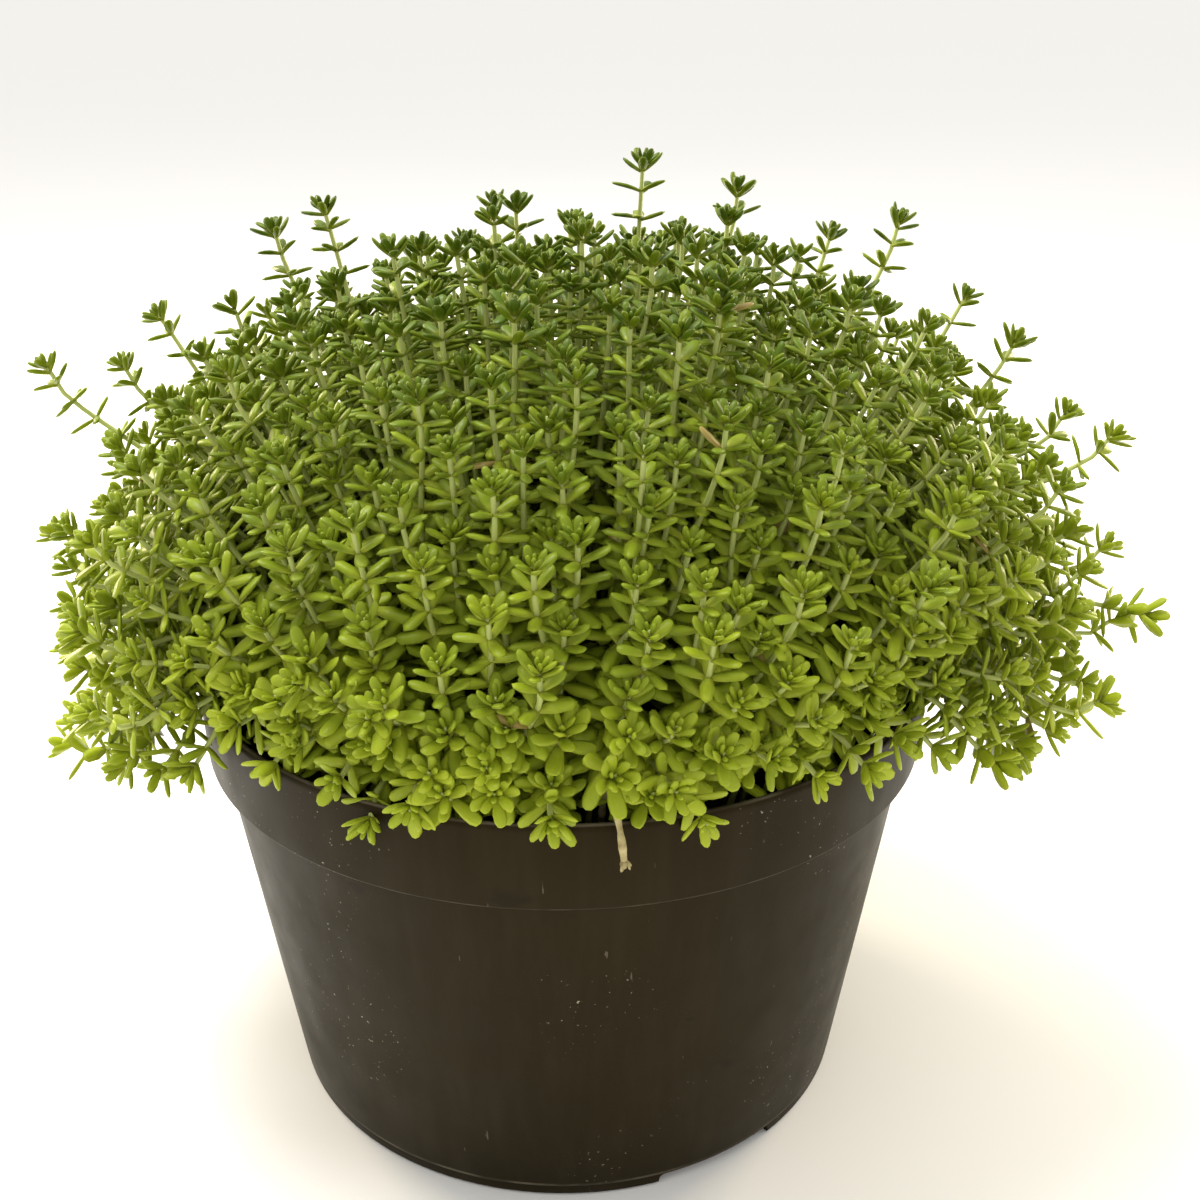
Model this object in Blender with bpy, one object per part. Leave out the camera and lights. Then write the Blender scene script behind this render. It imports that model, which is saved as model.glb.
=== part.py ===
"""A potted stonecrop: a nursery pot, its soil, and a dome of upright leafy stems.

Metres, +Z up. The origin is on the surface the pot stands on, under the middle of its base.
The front is -Y. The stems are grouped in tufts: one closed body a tuft, grown from one foot.
"""

import math
import random

import bpy
import numpy as np

MM = 0.001

# Pot
RIM_RADIUS = 75 * MM
POT_HEIGHT = 95 * MM
COLLAR_HEIGHT = 18 * MM
COLLAR_FOOT_RADIUS = 74.2 * MM
BASE_RADIUS = 60.4 * MM
POT_WALL = 1.4 * MM
COLLAR_STEP = 2.9 * MM
FOOT_LINE_HEIGHT = 2.6 * MM
FOOT_LINE_STEP = 0.4 * MM
POT_SIDES = 36
NOTCH_AZIMUTHS = (-60, 120)
NOTCH_SIZE = (14 * MM, 27 * MM, 2.5 * MM)
DRAIN_AZIMUTHS = (30, 75, 210, 255)
DRAIN_RADIUS = 4 * MM
DRAIN_CIRCLE_RADIUS = 42 * MM
DRAIN_SIDES = 8

# Soil
SOIL_TOP = 85 * MM
SOIL_CROWN = 1.5 * MM
SOIL_GAP = 0.35 * MM
HOLE_DEPTH = 7 * MM

# Dome that the tips lie on
DOME_CENTRE = np.array([3, 2, 100]) * MM
DOME_SIDE_REACH = 105 * MM
DOME_FRONT_REACH = 84 * MM
DOME_BACK_REACH = 102 * MM
DOME_TOP = 81 * MM
LOWEST_ANGLE_SIDE = math.radians(101)
LOWEST_ANGLE_FRONT = math.radians(74)
FRONT_SHARE_FROM = 0.30
FRONT_SHARE_TO = 0.77

# Tufts and their stems
TUFTS = 54
STEMS_A_TUFT = 3
ROOT_SPREAD = 63 * MM
GOLDEN_ANGLE = math.pi * (3 - math.sqrt(5))
SEED = 18
FOOT_RADIUS = 2.4 * MM
CROWN_RADIUS = 6.5 * MM
CROWN_SHARE = 0.40
LOW_CROWN_RADIUS = 3.8 * MM
LOW_CROWN_SHARE = 0.24
CROWN_WIDENING = 0.55
FOOT_OVER_SOIL = 1.5 * MM
RISE_SHARE = 0.30
ROOT_SPLAY = 0.06
TIP_PULL = 0.30
RISE_OVER_RIM = 32 * MM
TIP_SPACING = 13.0 * MM
TIP_JITTER = 2 * MM
HEIGHT_JITTER = 4 * MM
LEAN_SIDE = math.radians(38)
LEAN_FRONT = math.radians(14)
DROOP = 2.2
STEM_RADIUS = 0.95 * MM
STEM_FOOT_RADIUS = 1.3 * MM
STEM_FOOT_SHARE = 0.35
STEM_FOOT_APART = 2.6 * MM
LOW_STEM_FOOT_SHARE = 0.16
ARRIVAL = 0.8

# Leaves
LEAF_LENGTH = 7.8 * MM
LEAF_WIDTH = 3.1 * MM
LEAF_THICKNESS = 0.85 * MM
LEAF_WIDEST = 0.66
WHORL_HEIGHT = 1.9 * MM
WHORL_SPACING = 7.5 * MM
BUD_HEIGHT = 3.0 * MM
TOP_LEAF_SHARE = 0.85
INNER_LEAF_SHARE = 0.72
INNER_ASCENT = math.radians(58)
TOP_ASCENT = math.radians(30)
WHORL_ASCENT = math.radians(18)
WHORLS = 2
TWISTS = (-24, -12, 0, 12, 24)
LOW_TUFT_ANGLE = math.radians(60)
FRONT_CROWDING = 0.2
FRONT_FLATTENING = 0.45
CLEARANCE = 0.3 * MM
LEAF_GIRTH = 0.42
RIDGE_SHARE = 0.7
OUTER_ROOT_HEIGHT = 0.2
INNER_ROOT_HEIGHT = 0.8

# Stems that reach past the dome: where their tips are
REACHES = (
    (-101, 0, 155), (-104, 0, 120), (-108, -4, 72), (-92, 20, 150), (-86, 30, 158),
    (-60, 32, 175), (-49, 30, 180), (17, 30, 189), (38, 40, 182), (60, 48, 171),
    (71, 30, 177), (84, 20, 163), (95, 18, 154), (105, 10, 141), (112, 0, 139),
    (114, 0, 115), (111, -20, 107), (98, -14, 84),
)

# Dry stub over the front of the rim: its middle line in millimetres
STUB_RADIUS = 0.8 * MM
STUB_SIDES = 5
STUB_FRAY = 1.6 * MM
STUB_CORE_SHARE = 0.2
STUB_HOLE_SHARE = 1.15
STUB_AZIMUTH = math.radians(-84)
STUB_ROUTE = (
    (6, -63, 78), (6, -63, 87), (6.5, -66, 95.5), (7.2, -71, 99.2),
    (8, -75.6, 98.6), (8.8, -78, 95), (9.4, -78.8, 90),
)


def smooth_step(low, high, value):
    """0 up to low, 1 from high, and a smooth rise between."""
    share = min(max((value - low) / (high - low), 0), 1)
    return share * share * (3 - 2 * share)


def unit(vector):
    return vector / np.linalg.norm(vector)


def clear_scene():
    for obj in list(bpy.data.objects):
        bpy.data.objects.remove(obj)


def material(name, colour, roughness, metallic=0.0):
    made = bpy.data.materials.new(name)
    made.use_nodes = True
    shader = made.node_tree.nodes["Principled BSDF"]
    shader.inputs["Base Color"].default_value = (*colour, 1)
    shader.inputs["Roughness"].default_value = roughness
    shader.inputs["Metallic"].default_value = metallic
    return made


def mesh_object(name, points, faces, finish, smooth_under=None):
    """One object from points and faces, shaded smooth below the given edge angle."""
    mesh = bpy.data.meshes.new(name)
    mesh.from_pydata([tuple(point) for point in points], [], faces)
    mesh.materials.append(finish)
    if smooth_under is not None:
        mesh.shade_smooth()
        mesh.set_sharp_from_angle(angle=smooth_under)
    obj = bpy.data.objects.new(name, mesh)
    bpy.context.scene.collection.objects.link(obj)
    return obj


def turned(profile, sides):
    """Points and faces of a profile turned about Z. It starts and ends on the axis."""
    points = [(0, 0, profile[0][1])]
    for radius, height in profile[1:-1]:
        for side in range(sides):
            angle = 2 * math.pi * side / sides
            points.append((radius * math.cos(angle), radius * math.sin(angle), height))
    points.append((0, 0, profile[-1][1]))
    faces = []
    last = len(points) - 1
    top_ring = last - sides
    for side in range(sides):
        after = (side + 1) % sides
        faces.append((0, 1 + after, 1 + side))
        faces.append((last, top_ring + side, top_ring + after))
        for ring in range(len(profile) - 3):
            low = 1 + ring * sides
            high = low + sides
            faces.append((low + side, low + after, high + after, high + side))
    return points, faces


def box_at(centre, size, spin):
    """A closed box, turned about Z."""
    half = np.array(size) / 2
    points = []
    for x, y, z in ((a, b, c) for c in (-1, 1) for b in (-1, 1) for a in (-1, 1)):
        turned_x = x * half[0] * math.cos(spin) - y * half[1] * math.sin(spin)
        turned_y = x * half[0] * math.sin(spin) + y * half[1] * math.cos(spin)
        points.append((centre[0] + turned_x, centre[1] + turned_y, centre[2] + z * half[2]))
    return points, box_faces()


def box_faces():
    return [(0, 2, 3, 1), (4, 5, 7, 6), (0, 1, 5, 4), (2, 6, 7, 3), (0, 4, 6, 2), (1, 3, 7, 5)]


def prism_at(centre, radius, sides, low, high, spin):
    """An upright closed prism."""
    points = []
    for height in (low, high):
        for side in range(sides):
            angle = spin + 2 * math.pi * side / sides
            x = centre[0] + radius * math.cos(angle)
            y = centre[1] + radius * math.sin(angle)
            points.append((x, y, height))
    faces = [tuple(range(sides - 1, -1, -1)), tuple(range(sides, 2 * sides))]
    for side in range(sides):
        after = (side + 1) % sides
        faces.append((side, after, sides + after, sides + side))
    return points, faces


def cut(obj, cutters, name):
    """Takes closed shapes, given as points and faces, out of an object."""
    points = []
    faces = []
    for cutter_points, cutter_faces in cutters:
        start = len(points)
        points.extend(cutter_points)
        faces.extend(tuple(start + corner for corner in face) for face in cutter_faces)
    cutter = mesh_object(name, points, faces, obj.data.materials[0])
    cutter.hide_render = True
    cutter.display_type = "WIRE"
    modifier = obj.modifiers.new(name, "BOOLEAN")
    modifier.operation = "DIFFERENCE"
    modifier.object = cutter


def make_pot(finish):
    """A thin turned shell with a collar, two notches in its foot and holes in its floor."""
    collar_foot = POT_HEIGHT - COLLAR_HEIGHT
    wall_top_radius = COLLAR_FOOT_RADIUS - COLLAR_STEP
    lip = POT_WALL / 3
    profile = [
        (0, 0),
        (BASE_RADIUS, 0),
        (BASE_RADIUS + FOOT_LINE_STEP / 2, FOOT_LINE_HEIGHT),
        (BASE_RADIUS + FOOT_LINE_STEP, FOOT_LINE_HEIGHT + FOOT_LINE_STEP),
        (wall_top_radius, collar_foot),
        (COLLAR_FOOT_RADIUS, collar_foot + lip),
        (RIM_RADIUS, POT_HEIGHT - lip),
        (RIM_RADIUS - lip, POT_HEIGHT),
        (RIM_RADIUS - POT_WALL, POT_HEIGHT - lip),
        (COLLAR_FOOT_RADIUS - POT_WALL, collar_foot + POT_WALL + lip),
        (wall_top_radius - POT_WALL, collar_foot + POT_WALL),
        (BASE_RADIUS - POT_WALL, POT_WALL),
        (0, POT_WALL),
    ]
    points, faces = turned(profile, POT_SIDES)
    pot = mesh_object("pot", points, faces, finish, math.radians(32))
    notches = []
    for azimuth in map(math.radians, NOTCH_AZIMUTHS):
        middle = (BASE_RADIUS * math.cos(azimuth), BASE_RADIUS * math.sin(azimuth), 0)
        size = (NOTCH_SIZE[0], NOTCH_SIZE[1], 2 * NOTCH_SIZE[2])
        notches.append(box_at(middle, size, azimuth))
    drains = []
    for azimuth in map(math.radians, DRAIN_AZIMUTHS):
        middle = (DRAIN_CIRCLE_RADIUS * math.cos(azimuth), DRAIN_CIRCLE_RADIUS * math.sin(azimuth))
        drains.append(prism_at(middle, DRAIN_RADIUS, DRAIN_SIDES, -POT_WALL, 2 * POT_WALL, azimuth))
    cut(pot, notches + drains, "pot_openings")


def make_soil(feet, finish):
    """A solid that fills the pot, with a plain hole for each foot that stands in it."""
    collar_foot = POT_HEIGHT - COLLAR_HEIGHT
    wall_top_radius = COLLAR_FOOT_RADIUS - COLLAR_STEP - POT_WALL - SOIL_GAP
    profile = [
        (0, POT_WALL + SOIL_GAP),
        (BASE_RADIUS - POT_WALL - SOIL_GAP, POT_WALL + SOIL_GAP),
        (wall_top_radius, collar_foot + POT_WALL + SOIL_GAP),
        (COLLAR_FOOT_RADIUS - POT_WALL - SOIL_GAP, collar_foot + POT_WALL + 3 * SOIL_GAP),
        (COLLAR_FOOT_RADIUS - POT_WALL - SOIL_GAP, SOIL_TOP),
        (0, SOIL_TOP + SOIL_CROWN),
    ]
    points, faces = turned(profile, POT_SIDES)
    soil = mesh_object("soil", points, faces, finish, math.radians(32))
    holes = []
    for middle, radius, sides, spin in feet:
        low = SOIL_TOP - HOLE_DEPTH - SOIL_GAP
        high = SOIL_TOP + 2 * SOIL_CROWN
        holes.append(prism_at(middle, radius + SOIL_GAP, sides, low, high, spin))
    cut(soil, holes, "soil_holes")


def dome_point(polar, azimuth):
    """The point of the dome in this direction, with the way out and the way up its slope."""
    out = np.array([math.cos(azimuth), math.sin(azimuth), 0])
    front = smooth_step(FRONT_SHARE_FROM, FRONT_SHARE_TO, -out[1])
    back = max(out[1], 0) ** 2
    reach = DOME_SIDE_REACH
    reach += (DOME_FRONT_REACH - DOME_SIDE_REACH) * front
    reach += (DOME_BACK_REACH - DOME_SIDE_REACH) * back
    point = DOME_CENTRE + out * reach * math.sin(polar)
    point[2] += DOME_TOP * math.cos(polar)
    up_slope = -out * math.cos(polar)
    up_slope[2] = math.sin(polar)
    return point, out, up_slope, front


def tip_way(polar, out, front):
    """The way a tip points: upright on top, leaning out at the sides, drooping below."""
    lean = (LEAN_SIDE + (LEAN_FRONT - LEAN_SIDE) * front) * math.sin(polar) ** 2
    lean += DROOP * max(polar - math.pi / 2, 0)
    way = out * math.sin(lean)
    way[2] = math.cos(lean)
    return way


def tuft_rule():
    """Where each tuft's foot and tip lie: even over the soil, and even over the dome."""
    rule = []
    full = 1 - math.cos(LOWEST_ANGLE_SIDE)
    for number in range(TUFTS):
        share = (number + 0.5) / TUFTS
        azimuth = number * GOLDEN_ANGLE
        front = smooth_step(FRONT_SHARE_FROM, FRONT_SHARE_TO, -math.sin(azimuth))
        polar = math.acos(1 - share * full)
        polar *= 1 + (LOWEST_ANGLE_FRONT / LOWEST_ANGLE_SIDE - 1) * front
        root_radius = ROOT_SPREAD * math.sqrt(share)
        root = np.array([root_radius * math.cos(azimuth), root_radius * math.sin(azimuth), SOIL_TOP])
        rule.append((root, polar, azimuth))
    return rule


def curve_point(controls, share):
    """A point of a cubic curve and the way it runs there."""
    a, b, c, d = controls
    rest = 1 - share
    point = a * rest**3 + b * 3 * rest**2 * share + c * 3 * rest * share**2 + d * share**3
    way = (b - a) * rest**2 + (c - b) * 2 * rest * share + (d - c) * share**2
    return point, unit(way)


def tuft_route(root, tip, way):
    """The curve from a foot up out of the soil to its tip: the low ones first rise over the rim."""
    length = np.linalg.norm(tip - root)
    over_rim = smooth_step(RIM_RADIUS - 10 * MM, RIM_RADIUS + 12 * MM, np.linalg.norm(tip[:2]))
    over_rim *= smooth_step(POT_HEIGHT + 50 * MM, POT_HEIGHT, tip[2])
    rise = np.array([0, 0, RISE_SHARE * length + RISE_OVER_RIM * over_rim])
    splay = root * np.array([ROOT_SPLAY, ROOT_SPLAY, 0])
    return (root, root + rise + splay, tip - way * TIP_PULL * length, tip)


def frame_at(way, azimuth):
    """Two ways square to this one: along the parallel, and inward."""
    along = np.array([-math.sin(azimuth), math.cos(azimuth), 0])
    along = unit(along - way * np.dot(along, way))
    return along, np.cross(way, along)


def tufts_of_stems():
    """Each tuft's foot, tip and spin, and how far each stem's tip is from the tuft's."""
    draw = random.Random(SEED)
    tufts = []
    for root, polar, azimuth in tuft_rule():
        middle, out, up_slope, front = dome_point(polar, azimuth)
        way = tip_way(polar, out, front)
        spin = draw.uniform(0, math.pi)
        along = np.array([-math.sin(azimuth), math.cos(azimuth), 0])
        spacing = TIP_SPACING * (1 - FRONT_CROWDING * front)
        offsets = []
        for stem in range(STEMS_A_TUFT):
            angle = spin + (stem + 0.5) * 2 * math.pi / STEMS_A_TUFT
            offset = along * math.cos(angle)
            offset = offset + up_slope * math.sin(angle) * (1 - FRONT_FLATTENING * front)
            jitter = np.array([draw.uniform(-1, 1), draw.uniform(-1, 1), 0]) * TIP_JITTER
            offsets.append(offset * spacing + jitter + way * draw.uniform(-1, 1) * HEIGHT_JITTER)
        low = polar > LOW_TUFT_ANGLE
        extra = 1 if low and front > 0.5 else 0
        tufts.append({
            "number": len(tufts) + 1, "root": root, "tip": middle, "way": way, "azimuth": azimuth,
            "spin": spin, "offsets": offsets, "low": low, "whorls": WHORLS + extra,
        })
    return tufts


def stretch_to_reaches(tufts):
    """The nearest stem to each far tip is moved out to it."""
    taken = set()
    for reach in REACHES:
        target = np.array(reach) * MM
        choices = [(np.linalg.norm(tuft["tip"] + offset - target), number, stem)
                   for number, tuft in enumerate(tufts)
                   for stem, offset in enumerate(tuft["offsets"]) if (number, stem) not in taken]
        _, number, stem = min(choices)
        taken.add((number, stem))
        tufts[number]["offsets"][stem] = target - tufts[number]["tip"]


def segment_gap(start, end, starts, ends):
    """The least distance from one segment to each of many."""
    span = end - start
    spans = ends - starts
    apart = start - starts
    a = span @ span
    e = np.einsum("ij,ij->i", spans, spans)
    b = spans @ span
    c = apart @ span
    f = np.einsum("ij,ij->i", spans, apart)
    crossing = np.maximum(a * e - b * b, 1e-18)
    first = np.clip((b * f - c * e) / crossing, 0, 1)
    second = np.clip((b * first + f) / e, 0, 1)
    first = np.clip((b * second - c) / a, 0, 1)
    nearest = start + span * first[:, None]
    others = starts + spans * second[:, None]
    return np.linalg.norm(nearest - others, axis=1)


def stem_mark(stem):
    return stem[0] * STEMS_A_TUFT + stem[1]


class Crowd:
    """The leaves and stems placed so far, as thick segments, so that new ones keep clear."""

    def __init__(self):
        self.lines = []
        self.stems = []

    def add(self, start, end, radius, stem):
        self.lines.append((*start, *end, radius))
        self.stems.append(stem_mark(stem))

    def room(self, start, end, radius, stem):
        """How far a thick segment stays from all those of other stems."""
        lines = np.array(self.lines)[np.array(self.stems) != stem_mark(stem)]
        gaps = segment_gap(start, end, lines[:, :3], lines[:, 3:6])
        return float((gaps - lines[:, 6]).min() - radius)


class Growth:
    """Points and faces of one tuft, grown ring by ring."""

    def __init__(self):
        self.points = []
        self.faces = []

    def ring(self, centre, way, azimuth, radius, phase, sides):
        along, inward = frame_at(way, azimuth)
        first = len(self.points)
        for side in range(sides):
            angle = phase + 2 * math.pi * side / sides
            offset = along * math.cos(angle) + inward * math.sin(angle)
            self.points.append(centre + offset * radius)
        return list(range(first, first + sides))

    def point(self, place):
        self.points.append(place)
        return len(self.points) - 1

    def tube(self, low, high):
        for side in range(len(low)):
            after = (side + 1) % len(low)
            self.faces.append((low[side], low[after], high[after], high[side]))

    def leaf(self, root, tip, widest, side_way):
        """A leaf drawn out of a triangle of stem: flat along its first edge, with a ridge opposite."""
        first, second, apex = root
        first_edge = self.point(widest + side_way * LEAF_WIDTH / 2)
        second_edge = self.point(widest - side_way * LEAF_WIDTH / 2)
        end = self.point(tip)
        self.faces.extend([
            (first, second, second_edge), (first, second_edge, first_edge),
            (first_edge, second_edge, end), (second, apex, second_edge), (apex, first, first_edge),
            (apex, end, second_edge), (apex, first_edge, end),
        ])


class Whorl:
    """Three leaves round a stem: rising from its side, or standing inward of them on top."""

    def __init__(self, stem, centre, way, azimuth, phase, length, ascent, inner=False):
        self.stem = stem
        self.inner = inner
        self.length = length
        along, inward = frame_at(way, azimuth)
        turn = 2 * math.pi / 3 if inner else math.pi / 3
        height = WHORL_HEIGHT * (INNER_ROOT_HEIGHT if inner else OUTER_ROOT_HEIGHT)
        self.leaves = []
        for leaf in range(3):
            angle = phase + turn + leaf * 2 * math.pi / 3
            outward = along * math.cos(angle) + inward * math.sin(angle)
            start = centre + outward * STEM_RADIUS * 0.5 + way * height
            run = outward * math.cos(ascent) + way * math.sin(ascent)
            self.leaves.append((start, run, unit(np.cross(way, outward))))

    def room(self, crowd):
        """How many of the leaves have room, each judged up to the clearance."""
        return sum(min(self.leaf_room(crowd, leaf), CLEARANCE) for leaf in range(3))

    def leaf_room(self, crowd, leaf):
        start, run, _ = self.leaves[leaf]
        return crowd.room(start, start + run * self.length, LEAF_WIDTH * LEAF_GIRTH, self.stem)

    def grow(self, growth, crowd, leaf, root):
        """The leaf drawn out of its triangle of stem, or the bare triangle where it has no room."""
        if self.leaf_room(crowd, leaf) < CLEARANCE:
            growth.faces.append(root)
            return
        start, run, side_way = self.leaves[leaf]
        ridge_way = np.cross(side_way, run) * (1 if self.inner else -1)
        tip = start + run * self.length + ridge_way * LEAF_THICKNESS * RIDGE_SHARE
        widest = start + run * self.length * LEAF_WIDEST
        growth.leaf(root, tip, widest, side_way * (1 if self.inner else -1))
        crowd.add(start, start + run * self.length, LEAF_WIDTH * LEAF_GIRTH, self.stem)


def stem_whorls(stem, tip, way, azimuth, phase, count):
    """The whorls of a stem from its lowest up, as (outer, inner), with inner only at the top."""
    whorls = []
    for number in range(count):
        below = BUD_HEIGHT + WHORL_HEIGHT + WHORL_SPACING * (count - 1 - number)
        centre = tip - way * below
        turn = phase + number * math.pi / 3
        if number < count - 1:
            whorls.append((Whorl(stem, centre, way, azimuth, turn, LEAF_LENGTH, WHORL_ASCENT), None))
            continue
        outer_length = LEAF_LENGTH * TOP_LEAF_SHARE
        inner_length = LEAF_LENGTH * INNER_LEAF_SHARE
        outer = Whorl(stem, centre, way, azimuth, turn, outer_length, TOP_ASCENT)
        inner = Whorl(stem, centre, way, azimuth, turn, inner_length, INNER_ASCENT, True)
        whorls.append((outer, inner))
    return whorls


def best_phase(stem, crowd, base_phase, tip, way, azimuth, count):
    """The turn of a stem, within a little twist, that gives its leaves the most room."""
    def room(phase):
        whorls = stem_whorls(stem, tip, way, azimuth, phase, count)
        return sum(whorl.room(crowd) for pair in whorls for whorl in pair if whorl)

    phases = [base_phase + math.radians(twist) for twist in TWISTS]
    return max(phases, key=room)


def grow_band(growth, crowd, low, high, outer, inner):
    """A short band of stem between two rings, with its leaves."""
    for side in range(3):
        after = (side + 1) % 3
        outer.grow(growth, crowd, side, (low[side], low[after], high[side]))
        root = (high[after], high[side], low[after])
        if inner:
            inner.grow(growth, crowd, side, root)
        else:
            growth.faces.append(root)


def stem_angle(tuft, stem):
    """Which way from its tuft's middle line a stem stands."""
    return tuft["spin"] + (stem + 0.5) * 2 * math.pi / STEMS_A_TUFT


def stem_course(tuft, stem):
    """Where a stem first stands apart from its crown, its tip, and the way it runs at each."""
    route = tuft_route(tuft["root"], tuft["tip"], tuft["way"])
    start = crown_share(tuft)
    share = start + (1 - start) * (LOW_STEM_FOOT_SHARE if tuft["low"] else STEM_FOOT_SHARE)
    offset = tuft["offsets"][stem]
    middle, middle_way = curve_point(route, share)
    along, inward = frame_at(middle_way, tuft["azimuth"])
    angle = stem_angle(tuft, stem)
    apart = along * math.cos(angle) + inward * math.sin(angle)
    kept_up = np.array([offset[0], offset[1], max(offset[2], 0)])
    middle = middle + apart * STEM_FOOT_APART + kept_up * share**2
    tip = tuft["tip"] + offset
    way = unit(tuft["way"] + unit(tip - middle) * ARRIVAL)
    return middle, middle_way, tip, way


def whorl_count(tuft, middle, tip):
    """As many whorls as the tuft's stems have, or as many as a short stem has room for."""
    room = np.linalg.norm(tip - middle) - BUD_HEIGHT - WHORL_HEIGHT - STEM_FOOT_RADIUS * 2
    return int(max(1, min(tuft["whorls"], 1 + room // WHORL_SPACING)))


def grow_stem(stem, growth, crowd, base, base_phase, tuft):
    """One stem: a thin run from the crown, its whorls, and the bud between its top leaves."""
    azimuth = tuft["azimuth"]
    middle, middle_way, tip, way = stem_course(tuft, stem[1])
    count = whorl_count(tuft, middle, tip)
    phase = best_phase(stem, crowd, base_phase, tip, way, azimuth, count)
    ring = growth.ring(middle, middle_way, azimuth, STEM_FOOT_RADIUS, base_phase, 3)
    growth.tube(base, ring)
    for number, (outer, inner) in enumerate(stem_whorls(stem, tip, way, azimuth, phase, count)):
        centre = tip - way * (BUD_HEIGHT + WHORL_HEIGHT + WHORL_SPACING * (count - 1 - number))
        turn = phase + number * math.pi / 3
        low = growth.ring(centre, way, azimuth, STEM_RADIUS, turn, 3)
        high = growth.ring(centre + way * WHORL_HEIGHT, way, azimuth, STEM_RADIUS, turn + math.pi / 3, 3)
        growth.tube(ring, low)
        grow_band(growth, crowd, low, high, outer, inner)
        ring = high
    bud = growth.point(tip)
    for side in range(3):
        growth.faces.append((ring[side], ring[(side + 1) % 3], bud))


def crown_share(tuft):
    return LOW_CROWN_SHARE if tuft["low"] else CROWN_SHARE


def crown_shape(tuft, route):
    """The rings of a tuft's foot and crown: centre, way and radius of each."""
    up = np.array([0, 0, 1.0])
    radius = LOW_CROWN_RADIUS if tuft["low"] else CROWN_RADIUS
    top, top_way = curve_point(route, crown_share(tuft))
    middle, middle_way = curve_point(route, crown_share(tuft) * CROWN_WIDENING)
    return [
        (tuft["root"] - up * HOLE_DEPTH, up, FOOT_RADIUS),
        (tuft["root"] + up * FOOT_OVER_SOIL, up, FOOT_RADIUS),
        (middle, middle_way, (radius + FOOT_RADIUS) / 2),
        (top, top_way, radius),
    ]


def grow_tuft(tuft, crowd):
    """One tuft: a foot that widens to a crown, and a stem from each third of it."""
    growth = Growth()
    route = tuft_route(tuft["root"], tuft["tip"], tuft["way"])
    shape = crown_shape(tuft, route)
    spin = tuft["spin"]
    rings = []
    for centre, way, radius in shape:
        rings.append(growth.ring(centre, way, tuft["azimuth"], radius, spin, STEMS_A_TUFT))
    growth.faces.append(tuple(reversed(rings[0])))
    for low, high in zip(rings, rings[1:]):
        growth.tube(low, high)
    top, top_way, radius = shape[-1]
    hub = growth.point(top + top_way * radius * 0.5)
    for stem in range(STEMS_A_TUFT):
        base = [rings[-1][stem], rings[-1][(stem + 1) % STEMS_A_TUFT], hub]
        base_phase = stem_angle(tuft, stem) - math.pi / 3
        grow_stem((tuft["number"], stem), growth, crowd, base, base_phase, tuft)
    return growth


def mark_stems(tuft, crowd):
    """Puts the middle lines of a tuft's crown and stems in the crowd, as thick segments."""
    route = tuft_route(tuft["root"], tuft["tip"], tuft["way"])
    shape = crown_shape(tuft, route)
    for (low, _, low_radius), (high, _, high_radius) in zip(shape, shape[1:]):
        crowd.add(low, high, (low_radius + high_radius) / 2, (tuft["number"], -1))
    for stem in range(STEMS_A_TUFT):
        middle, _, tip, way = stem_course(tuft, stem)
        leafy = tip - way * (BUD_HEIGHT + WHORL_SPACING * (whorl_count(tuft, middle, tip) - 1))
        crowd.add(middle, leafy, STEM_RADIUS, (tuft["number"], stem))
        crowd.add(leafy, tip, STEM_RADIUS, (tuft["number"], stem))


def make_dry_stub(finish):
    """A dead stem that rises from the soil, bends over the rim and ends in a frayed cut."""
    growth = Growth()
    line = [np.array(place) * MM for place in STUB_ROUTE]
    rings = []
    for number, place in enumerate(line):
        before = line[max(number - 1, 0)]
        after = line[min(number + 1, len(line) - 1)]
        way = unit(after - before)
        rings.append(growth.ring(place, way, STUB_AZIMUTH, STUB_RADIUS, 0, STUB_SIDES))
    growth.faces.append(tuple(reversed(rings[0])))
    for low, high in zip(rings, rings[1:]):
        growth.tube(low, high)
    end_way = unit(line[-1] - line[-2])
    frayed = rings[-1]
    centre = growth.point(line[-1] + end_way * STUB_FRAY * STUB_CORE_SHARE)
    for side in range(STUB_SIDES):
        after = frayed[(side + 1) % STUB_SIDES]
        middle = (growth.points[frayed[side]] + growth.points[after]) / 2
        length = STUB_FRAY if side % 2 else STUB_FRAY / 2
        spike = growth.point(middle + end_way * length)
        growth.faces.append((frayed[side], after, spike))
        growth.faces.append((after, centre, spike))
        growth.faces.append((centre, frayed[side], spike))
    mesh_object("dry_stub", growth.points, growth.faces, finish, math.radians(50))
    return line[0], STUB_RADIUS * STUB_HOLE_SHARE, STUB_SIDES, STUB_AZIMUTH + math.pi / 2


def make_tufts(finish):
    tufts = tufts_of_stems()
    stretch_to_reaches(tufts)
    crowd = Crowd()
    for tuft in tufts:
        mark_stems(tuft, crowd)
    for tuft in tufts:
        growth = grow_tuft(tuft, crowd)
        name = f"leafy_stems_{tuft['number']:02d}"
        mesh_object(name, growth.points, growth.faces, finish, math.radians(40))
    return [(tuft["root"], FOOT_RADIUS, STEMS_A_TUFT, foot_spin(tuft)) for tuft in tufts]


def foot_spin(tuft):
    """The turn of a tuft's three-sided foot about Z."""
    along, inward = frame_at(np.array([0, 0, 1.0]), tuft["azimuth"])
    corner = along * math.cos(tuft["spin"]) + inward * math.sin(tuft["spin"])
    return math.atan2(corner[1], corner[0])


def main():
    clear_scene()
    plastic = material("pot_plastic", (0.043, 0.032, 0.022), 0.42)
    earth = material("potting_soil", (0.022, 0.015, 0.010), 0.95)
    green = material("leaf_green", (0.145, 0.275, 0.030), 0.45)
    straw = material("dry_stem", (0.36, 0.26, 0.13), 0.8)
    make_pot(plastic)
    feet = make_tufts(green)
    feet.append(make_dry_stub(straw))
    make_soil(feet, earth)


main()
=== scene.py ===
import math
import random

import bpy
import numpy as np
from mathutils import Matrix, Vector, noise


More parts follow.
